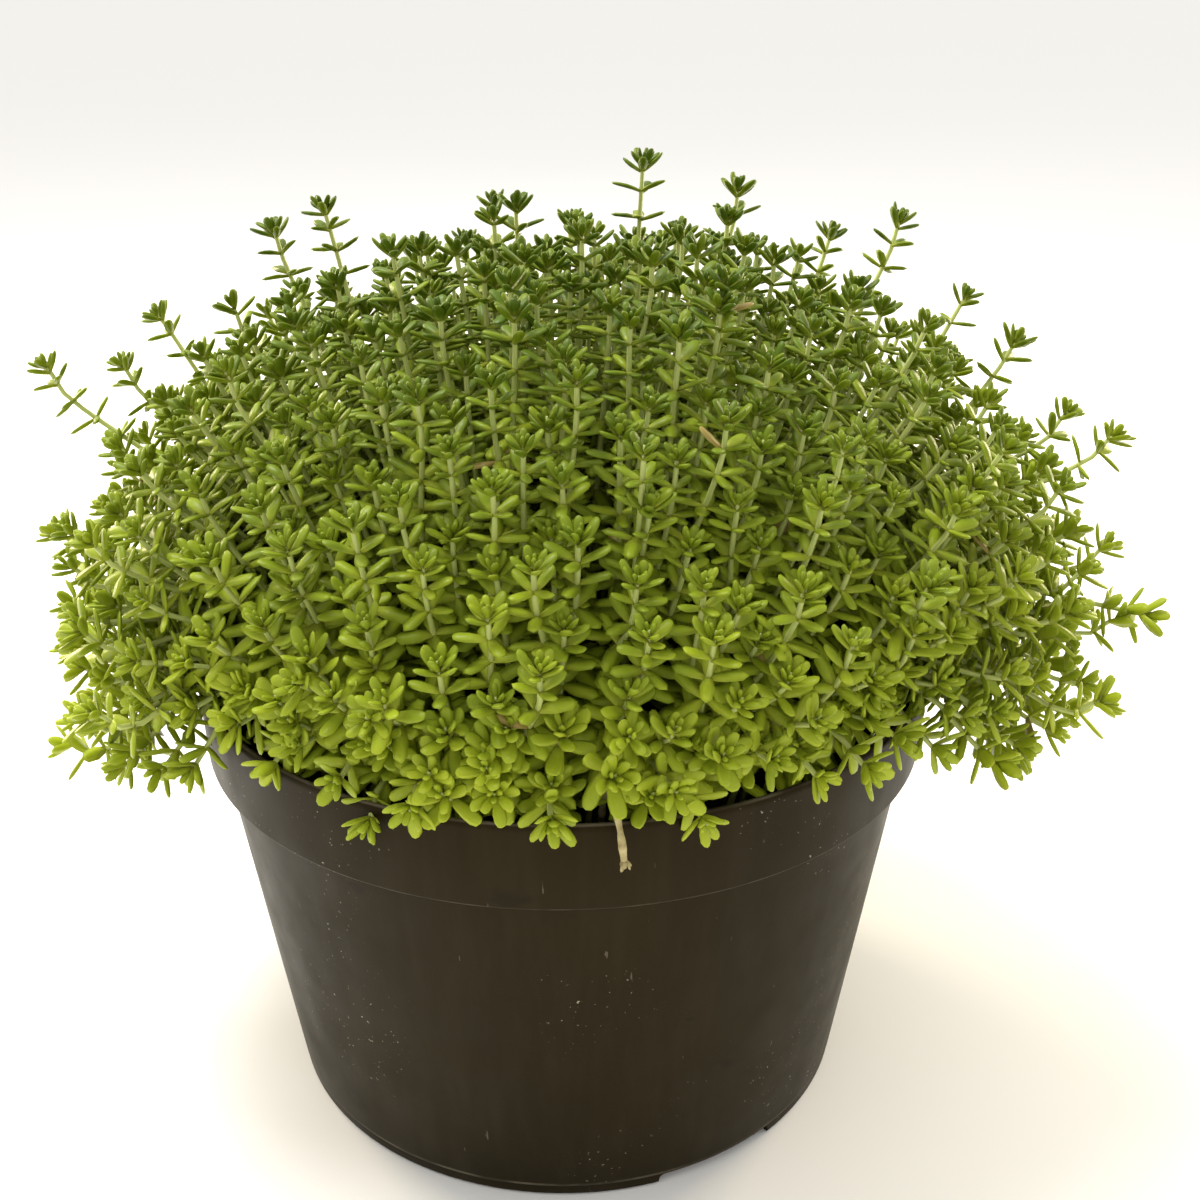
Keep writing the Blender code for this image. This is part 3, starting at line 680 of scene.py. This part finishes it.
def make_pot(plastic):
    collar_foot = POT_HEIGHT - COLLAR_HEIGHT
    wall_top_radius = COLLAR_FOOT_RADIUS - COLLAR_STEP
    lip = POT_WALL / 3
    profile = [
        (0, 0), (BASE_RADIUS - BASE_EDGE, 0), (BASE_RADIUS, BASE_EDGE_LIFT),
        (BASE_RADIUS + FOOT_LINE_STEP / 2, FOOT_LINE_HEIGHT),
        (BASE_RADIUS + FOOT_LINE_STEP, FOOT_LINE_HEIGHT + FOOT_LINE_STEP),
        (wall_top_radius, collar_foot - COLLAR_UNDERCUT),
        (wall_top_radius + COLLAR_UNDERCUT_FLARE, collar_foot),
        (COLLAR_FOOT_RADIUS, collar_foot + lip),
        (RIM_RADIUS, POT_HEIGHT - LIP_BAND), (RIM_RADIUS - lip, POT_HEIGHT),
        (RIM_RADIUS - POT_WALL, POT_HEIGHT - lip),
        (COLLAR_FOOT_RADIUS - POT_WALL, collar_foot + POT_WALL + lip),
        (wall_top_radius - POT_WALL, collar_foot + POT_WALL),
        (BASE_RADIUS - POT_WALL, POT_WALL), (0, POT_WALL),
    ]
    profile = rounded(profile, POT_EDGE_ROUND, 3)
    points, faces = turned(profile, POT_SIDES)
    mesh = bpy.data.meshes.new("pot_fine")
    mesh.from_pydata(points, [], faces)
    pot = dress(mesh, "pot_fine", plastic)
    for azimuth in map(math.radians, NOTCH_AZIMUTHS):
        hard_cut(pot, *notch(azimuth))
    for azimuth in map(math.radians, DRAIN_AZIMUTHS):
        hard_cut(pot, *drain(azimuth))
    pot.data.shade_smooth()
    pot.data.set_sharp_from_angle(angle=math.radians(40))
    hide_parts("pot")


def notch(azimuth):
    """A flat arch with two round corners: the shape of a recess in the foot's edge."""
    points = []
    half = NOTCH_WIDTH / 2
    straight = NOTCH_HEIGHT - NOTCH_ROUND
    outline = [(-half, -2 * MM), (half, -2 * MM)]
    for middle, first in ((half - NOTCH_ROUND, 0), (-half + NOTCH_ROUND, math.pi / 2)):
        for step in range(5):
            angle = first + math.pi / 2 * step / 4
            outline.append((middle + NOTCH_ROUND * math.cos(angle),
                            straight + NOTCH_ROUND * math.sin(angle)))
    for radius in (BASE_RADIUS - NOTCH_DEPTH / 2, BASE_RADIUS + NOTCH_DEPTH / 2):
        for across, height in outline:
            x = radius * math.cos(azimuth) - across * math.sin(azimuth)
            y = radius * math.sin(azimuth) + across * math.cos(azimuth)
            points.append((x, y, height))
    count = len(outline)
    faces = [tuple(range(count - 1, -1, -1)), tuple(range(count, 2 * count))]
    for side in range(count):
        after = (side + 1) % count
        faces.append((side, after, count + after, count + side))
    return points, faces


def drain(azimuth):
    """A round bar through the base: the shape of a drain hole."""
    sides = 32
    middle = (DRAIN_CIRCLE_RADIUS * math.cos(azimuth), DRAIN_CIRCLE_RADIUS * math.sin(azimuth))
    points = []
    for height in (-POT_WALL, 2 * POT_WALL):
        for side in range(sides):
            angle = 2 * math.pi * side / sides
            points.append((middle[0] + DRAIN_RADIUS * math.cos(angle),
                           middle[1] + DRAIN_RADIUS * math.sin(angle), height))
    faces = [tuple(range(sides - 1, -1, -1)), tuple(range(sides, 2 * sides))]
    for side in range(sides):
        after = (side + 1) % sides
        faces.append((side, after, sides + after, sides + side))
    return points, faces


def make_soil(earth):
    """The filling: a turned body whose top is lumpy, with crumbs on it."""
    collar_foot = POT_HEIGHT - COLLAR_HEIGHT
    wall_top_radius = COLLAR_FOOT_RADIUS - COLLAR_STEP - POT_WALL - SOIL_GAP
    edge = COLLAR_FOOT_RADIUS - POT_WALL - SOIL_GAP
    profile = [
        (0, POT_WALL + SOIL_GAP), (BASE_RADIUS - POT_WALL - SOIL_GAP, POT_WALL + SOIL_GAP),
        (wall_top_radius, collar_foot + POT_WALL + SOIL_GAP),
        (edge, collar_foot + POT_WALL + 3 * SOIL_GAP), (edge, SOIL_TOP - 1.5 * MM),
    ]
    for ring in range(SOIL_RINGS + 1):
        profile.append((edge * (1 - ring / (SOIL_RINGS + 1)), SOIL_TOP))
    profile.append((0, SOIL_TOP))
    points, faces = turned(profile, SOIL_SIDES)
    lumpy = []
    for x, y, z in points:
        if z > SOIL_TOP - 1 * MM:
            reach = math.hypot(x, y) / edge
            place = Vector((x, y, 0)) / MM
            lump = sum(noise.noise(place / across) * height for across, height in SOIL_LUMPS)
            calmed = 0.35 if reach > 0.99 else 1
            z = SOIL_TOP + SOIL_CROWN * 0.5 * (1 - reach) + lump * MM * calmed
        lumpy.append((x, y, z))
    build = Build()
    build.add(lumpy, faces, np.zeros((len(lumpy), 3)))
    draw = random.Random(SEED + 2)
    for _ in range(CRUMBS):
        angle = draw.uniform(0, 2 * math.pi)
        reach = (edge - 1.6 * MM) * math.sqrt(draw.random())
        size = draw.choice(CRUMB_SIZES) * MM
        place = (reach * math.cos(angle), reach * math.sin(angle), SOIL_TOP + 0.6 * MM)
        add_crumb(build, draw, place, size)
    soil = build.finish("soil_fine", earth)
    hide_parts("soil")


CRUMB = [(0, 0, 1), (1, 0, 0), (0, 1, 0), (-1, 0, 0), (0, -1, 0), (0, 0, -1)]
CRUMB_FACES = [
    (0, 1, 2), (0, 2, 3), (0, 3, 4), (0, 4, 1), (5, 2, 1), (5, 3, 2), (5, 4, 3), (5, 1, 4),
]


def add_crumb(build, draw, place, size):
    """A lopsided eight-sided grain."""
    spin = Matrix.Rotation(draw.uniform(0, 6.28), 3, "X")
    spin = spin @ Matrix.Rotation(draw.uniform(0, 6.28), 3, "Z")
    stretch = Vector((draw.uniform(0.6, 1.6), draw.uniform(0.6, 1.3), draw.uniform(0.5, 1)))
    points = []
    for corner in CRUMB:
        reach = Vector(corner) * size * draw.uniform(0.7, 1.15) * stretch
        points.append(tuple(Vector(place) + spin @ reach))
    build.add(points, CRUMB_FACES, np.tile([0, draw.random(), 1], (6, 1)))


def make_stub(straw):
    """The dead stem over the rim: a ribbed tube that ends in torn fibres."""
    draw = random.Random(SEED + 3)
    build = Build()
    points, ways, runs = smooth_line([np.array(place) * MM for place in STUB_ROUTE], STUB_STEP)
    sides = carried_frames(ways, np.array([1.0, 0, 0]))
    ring = STUB_SIDES
    made = []
    for number, (point, way, side) in enumerate(zip(points, ways, sides)):
        other = np.cross(way, side)
        swell = 1 + 0.16 * math.sin(runs[number] / MM * 1.1) + draw.uniform(-0.05, 0.05)
        for step in range(ring):
            angle = 2 * math.pi * step / ring
            radius = STUB_RADIUS * STUB_SLIMMING * swell * (1.08 if step % 2 else 0.92)
            made.append(point + (side * math.cos(angle) + other * math.sin(angle)) * radius)
    faces = []
    for number in range(len(points) - 1):
        for step in range(ring):
            after = (step + 1) % ring
            low = number * ring
            faces.append((low + step, low + after, low + ring + after, low + ring + step))
    faces.append(tuple(reversed(range(ring))))
    faces.append(tuple(range(len(made) - ring, len(made))))
    build.add(made, faces, np.tile([0, 0.5, 0.5], (len(made), 1)))
    end, way, side = points[-1], ways[-1], sides[-1]
    other = np.cross(way, side)
    for fibre in range(STUB_FIBRES):
        angle = 2 * math.pi * fibre / STUB_FIBRES + draw.uniform(-0.2, 0.2)
        outward = side * math.cos(angle) + other * math.sin(angle)
        start = end + outward * STUB_RADIUS * 0.5 - way * 0.5 * MM
        run = unit(way + outward * draw.uniform(0, 0.7))
        normal = unit(np.cross(run, outward + way * 0.3))
        length = draw.uniform(*FIBRE_LENGTHS)
        add_leaf(build, PLAIN_LEAF, start, run, normal, length, FIBRE_WIDTH, 0.1, draw.random(), 1)
    stub = build.finish("dry_stub_fine", straw)
    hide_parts("dry_stub")


def node(tree, kind, **settings):
    made = tree.nodes.new(kind)
    for name, value in settings.items():
        setattr(made, name, value)
    return made


def ramp(tree, source, stops):
    """A colour ramp from (position, grey or colour) stops, fed by a socket."""
    made = node(tree, "ShaderNodeValToRGB")
    elements = made.color_ramp.elements
    while len(elements) < len(stops):
        elements.new(0.5)
    for element, (position, colour) in zip(elements, stops):
        element.position = position
        element.color = (*colour, 1) if isinstance(colour, tuple) else (colour, colour, colour, 1)
    tree.links.new(source, made.inputs["Fac"])
    return made.outputs["Color"]


def blend(tree, first, second, share):
    """One colour mixed into another. For colours, the node's sockets are 6, 7 and 0, and 2 out."""
    made = node(tree, "ShaderNodeMix", data_type="RGBA", blend_type="MIX")
    for number, value in ((6, first), (7, second), (0, share)):
        socket = made.inputs[number]
        if isinstance(value, bpy.types.NodeSocket):
            tree.links.new(value, socket)
        elif isinstance(value, tuple):
            socket.default_value = (*value, 1)
        else:
            socket.default_value = value
    return made.outputs[2]


def clouds(tree, scale, detail=3.0, stretch=None):
    """Noise over the object's own space, in features per metre."""
    place = node(tree, "ShaderNodeTexCoord").outputs["Object"]
    if stretch:
        mapping = node(tree, "ShaderNodeMapping")
        mapping.inputs["Scale"].default_value = stretch
        tree.links.new(place, mapping.inputs["Vector"])
        place = mapping.outputs["Vector"]
    made = node(tree, "ShaderNodeTexNoise")
    made.inputs["Scale"].default_value = scale
    made.inputs["Detail"].default_value = detail
    made.inputs["Roughness"].default_value = 0.5
    tree.links.new(place, made.inputs["Vector"])
    return made.outputs["Fac"]


def height_of(tree):
    """The height of the shaded point above the floor, in metres."""
    place = node(tree, "ShaderNodeSeparateXYZ")
    tree.links.new(node(tree, "ShaderNodeTexCoord").outputs["Object"], place.inputs[0])
    return place.outputs["Z"]


def mark(tree, name):
    """One of the numbers kept on a piece's points."""
    return node(tree, "ShaderNodeAttribute", attribute_name=name).outputs["Fac"]


def maths(tree, operation, *values):
    made = node(tree, "ShaderNodeMath", operation=operation)
    for socket, value in zip(made.inputs, values):
        if isinstance(value, bpy.types.NodeSocket):
            tree.links.new(value, socket)
        else:
            socket.default_value = value
    return made.outputs[0]


def new_material(name):
    made = bpy.data.materials.new(name)
    made.use_nodes = True
    tree = made.node_tree
    return made, tree, tree.nodes["Principled BSDF"]


def bump(tree, shader, height, distance):
    made = node(tree, "ShaderNodeBump")
    made.inputs["Distance"].default_value = distance
    made.inputs["Strength"].default_value = 1.0
    tree.links.new(height, made.inputs["Height"])
    tree.links.new(made.outputs["Normal"], shader.inputs["Normal"])


def leaf_material():
    """Fleshy green: yellower with age, painted brighter and yellower low down as a painted glow of
    light, paler at the leaf's base, stems paler still.
    """
    made, tree, shader = new_material("leaf_green_fine")
    tone = mark(tree, "tone")
    young = ramp(tree, tone, [
        (0, (0.056, 0.098, 0.002)), (0.5, (0.092, 0.141, 0.003)), (1, (0.150, 0.202, 0.005)),
    ])
    old = ramp(tree, tone, [
        (0, (0.108, 0.178, 0.005)), (0.5, (0.195, 0.278, 0.009)), (1, (0.318, 0.398, 0.016)),
    ])
    body = blend(tree, young, old, ramp(tree, mark(tree, "age"), [(0.25, 0.0), (0.8, 1.0)]))

    # Painted light: a brighter, yellower glow on the low leaves, from none at 168 mm up to its full
    # share at 96 mm and below
    low = maths(tree, "MULTIPLY_ADD", height_of(tree), -14.0, 2.35)
    low = maths(tree, "MULTIPLY", ramp(tree, low, [(0, 0.0), (1, 1.0)]), 0.74)
    body = blend(tree, body, (0.480, 0.560, 0.030), low)
    patches = ramp(tree, clouds(tree, 55, 2.0), [(0.35, 0.0), (0.7, 1.0)])
    body = blend(tree, body, (0.070, 0.140, 0.014), maths(tree, "MULTIPLY", patches, 0.30))
    base = ramp(tree, mark(tree, "run"), [(0.0, 1.0), (0.45, 0.0)])
    body = blend(tree, body, (0.460, 0.490, 0.060), maths(tree, "MULTIPLY", base, 0.6))

    stem = ramp(tree, mark(tree, "age"), [
        (0.0, (0.240, 0.250, 0.060)), (0.5, (0.380, 0.425, 0.100)), (1.0, (0.480, 0.540, 0.180)),
    ])
    from_stem = maths(tree, "ADD", mark(tree, "run"), 1.0)
    colour = blend(tree, body, stem, ramp(tree, from_stem, [(0.4, 1.0), (0.6, 0.0)]))
    from_leaf = maths(tree, "SUBTRACT", mark(tree, "run"), 1.5)
    dead = ramp(tree, from_leaf, [(0.4, 0.0), (0.6, 1.0)])
    colour = blend(tree, colour, (0.330, 0.250, 0.070), dead)
    tree.links.new(colour, shader.inputs["Base Color"])

    rough = ramp(tree, clouds(tree, 900, 2.0), [(0.3, 0.34), (0.7, 0.52)])
    tree.links.new(rough, shader.inputs["Roughness"])
    shader.inputs["Specular IOR Level"].default_value = 0.24
    shader.inputs["Specular Tint"].default_value = (1.0, 0.97, 0.72, 1)
    shader.inputs["Coat Weight"].default_value = 0.04
    shader.inputs["Coat Roughness"].default_value = 0.16
    bump(tree, shader, clouds(tree, 1500, 2.0), 0.05 * MM)
    return made


def plastic_material():
    """Moulded brown-black plastic with lime specks, dull smears and a fine grain."""
    made, tree, shader = new_material("pot_plastic_fine")
    shade = ramp(tree, clouds(tree, 22, 4.0), [
        (0.3, (0.0115, 0.0080, 0.0020)), (0.7, (0.0160, 0.0112, 0.0032)),
    ])
    streaks = ramp(tree, clouds(tree, 260, 3.0, (1, 1, 0.06)), [(0.45, 0.0), (0.8, 1.0)])
    shade = blend(tree, shade, (0.045, 0.036, 0.020), maths(tree, "MULTIPLY", streaks, 0.16))
    smudge = ramp(tree, clouds(tree, 75, 3.0, (1, 1, 1.6)), [(0.685, 0.0), (0.72, 1.0)])
    shade = blend(tree, shade, (0.008, 0.006, 0.003), maths(tree, "MULTIPLY", smudge, 0.6))
    specks = ramp(tree, clouds(tree, 1300, 2.0), [(0.705, 0.0), (0.735, 1.0)])
    where = ramp(tree, clouds(tree, 30, 1.0), [(0.57, 0.0), (0.68, 1.0)])
    shade = blend(tree, shade, (0.34, 0.30, 0.22), maths(tree, "MULTIPLY", specks, where))
    scratches = ramp(tree, clouds(tree, 800, 2.0, (1, 1, 0.12)), [(0.76, 0.0), (0.78, 1.0)])
    shade = blend(tree, shade, (0.16, 0.13, 0.09), maths(tree, "MULTIPLY", scratches, 0.5))

    # Pale lines along the lip, the collar's foot and the foot line
    up = height_of(tree)
    pale_line_strength = ramp(tree, clouds(tree, 140, 3.0), [(0.40, 0.15), (0.65, 0.75)])
    collar_foot = POT_HEIGHT - COLLAR_HEIGHT
    for height in (POT_HEIGHT - 0.2 * MM, collar_foot + 0.4 * MM, FOOT_LINE_HEIGHT + 0.5 * MM):
        far = maths(tree, "ABSOLUTE", maths(tree, "SUBTRACT", up, height))
        edge = ramp(tree, maths(tree, "MULTIPLY", far, 1 / MM), [(0.15, 1.0), (0.45, 0.0)])
        shade = blend(tree, shade, (0.13, 0.11, 0.075), maths(tree, "MULTIPLY", edge, pale_line_strength))
    tree.links.new(shade, shader.inputs["Base Color"])
    rough = ramp(tree, clouds(tree, 90, 4.0), [(0.3, 0.40), (0.7, 0.52)])
    tree.links.new(rough, shader.inputs["Roughness"])
    shader.inputs["Specular IOR Level"].default_value = 0.10
    shader.inputs["Specular Tint"].default_value = (1.0, 0.80, 0.52, 1)
    bump(tree, shader, clouds(tree, 2600, 2.0), 0.02 * MM)
    return made


def earth_material():
    """Dark crumbly mix with a few pale grains."""
    made, tree, shader = new_material("potting_soil_fine")
    shade = ramp(tree, clouds(tree, 420, 5.0), [
        (0.3, (0.010, 0.007, 0.004)), (0.6, (0.034, 0.023, 0.014)), (0.85, (0.075, 0.055, 0.035)),
    ])
    grains = ramp(tree, clouds(tree, 800, 1.0), [(0.72, 0.0), (0.75, 1.0)])
    shade = blend(tree, shade, (0.22, 0.19, 0.14), grains)
    tree.links.new(shade, shader.inputs["Base Color"])
    shader.inputs["Roughness"].default_value = 0.95
    bump(tree, shader, clouds(tree, 900, 5.0), 0.5 * MM)
    return made


def straw_material():
    """Dry fibrous straw brown."""
    made, tree, shader = new_material("dry_stem_fine")
    shade = ramp(tree, clouds(tree, 500, 4.0), [
        (0.3, (0.26, 0.20, 0.08)), (0.6, (0.52, 0.44, 0.20)), (0.8, (0.66, 0.58, 0.34)),
    ])
    tree.links.new(shade, shader.inputs["Base Color"])
    shader.inputs["Roughness"].default_value = 0.8
    bump(tree, shader, clouds(tree, 900, 4.0), 0.2 * MM)
    return made


def make_stage():
    """A wide pale floor, and an even studio light from all round."""
    made, _, shader = new_material("stage_pale")
    shader.inputs["Base Color"].default_value = (0.94, 0.94, 0.93, 1)
    shader.inputs["Roughness"].default_value = 0.9
    mesh = bpy.data.meshes.new("floor")
    corners = [(x * FLOOR_HALF, y * FLOOR_HALF, 0) for x, y in ((-1, -1), (1, -1), (1, 1), (-1, 1))]
    mesh.from_pydata(corners, [], [(0, 1, 2, 3)])
    mesh.materials.append(made)
    floor = bpy.data.objects.new("floor", mesh)
    bpy.context.scene.collection.objects.link(floor)
    world = bpy.data.worlds.new("studio")
    world.use_nodes = True
    glow = world.node_tree.nodes["Background"]
    glow.inputs["Color"].default_value = (1, 0.98, 0.94, 1)
    glow.inputs["Strength"].default_value = 0.96
    bpy.context.scene.world = world


def area_light(name, place, size, power, colour):
    data = bpy.data.lights.new(name, "AREA")
    data.shape = "RECTANGLE"
    data.size, data.size_y = size
    data.energy = power
    data.color = colour
    lamp = bpy.data.objects.new(name, data)
    bpy.context.scene.collection.objects.link(lamp)
    lamp.location = place
    aim = LIGHT_AIM - Vector(place)
    lamp.rotation_euler = aim.to_track_quat("-Z", "Y").to_euler()


def make_lights():
    area_light("overhead", (-0.22, 0.10, 0.80), (0.35, 0.35), 6, (1.0, 1.0, 1.0))
    area_light("left_strip", (-0.60, 0.52, 0.28), (0.30, 0.5), 7, (1.0, 0.84, 0.60))
    area_light("right_strip", (0.60, 0.50, 0.28), (0.30, 0.5), 6, (1.0, 0.84, 0.60))


def make_camera():
    data = bpy.data.cameras.new("camera")
    data.sensor_width = CAMERA_SENSOR
    data.lens = CAMERA_LENS
    data.clip_start = 0.01
    camera = bpy.data.objects.new("camera", data)
    bpy.context.scene.collection.objects.link(camera)
    turn = Matrix((CAMERA_RIGHT, CAMERA_UP, -CAMERA_FORWARD)).transposed().to_4x4()
    camera.matrix_world = Matrix.Translation(CAMERA_PLACE) @ turn
    bpy.context.scene.camera = camera
    bpy.context.scene.view_settings.view_transform = "Standard"


make_plant(leaf_material())
make_pot(plastic_material())
make_soil(earth_material())
make_stub(straw_material())
make_stage()
make_lights()
make_camera()
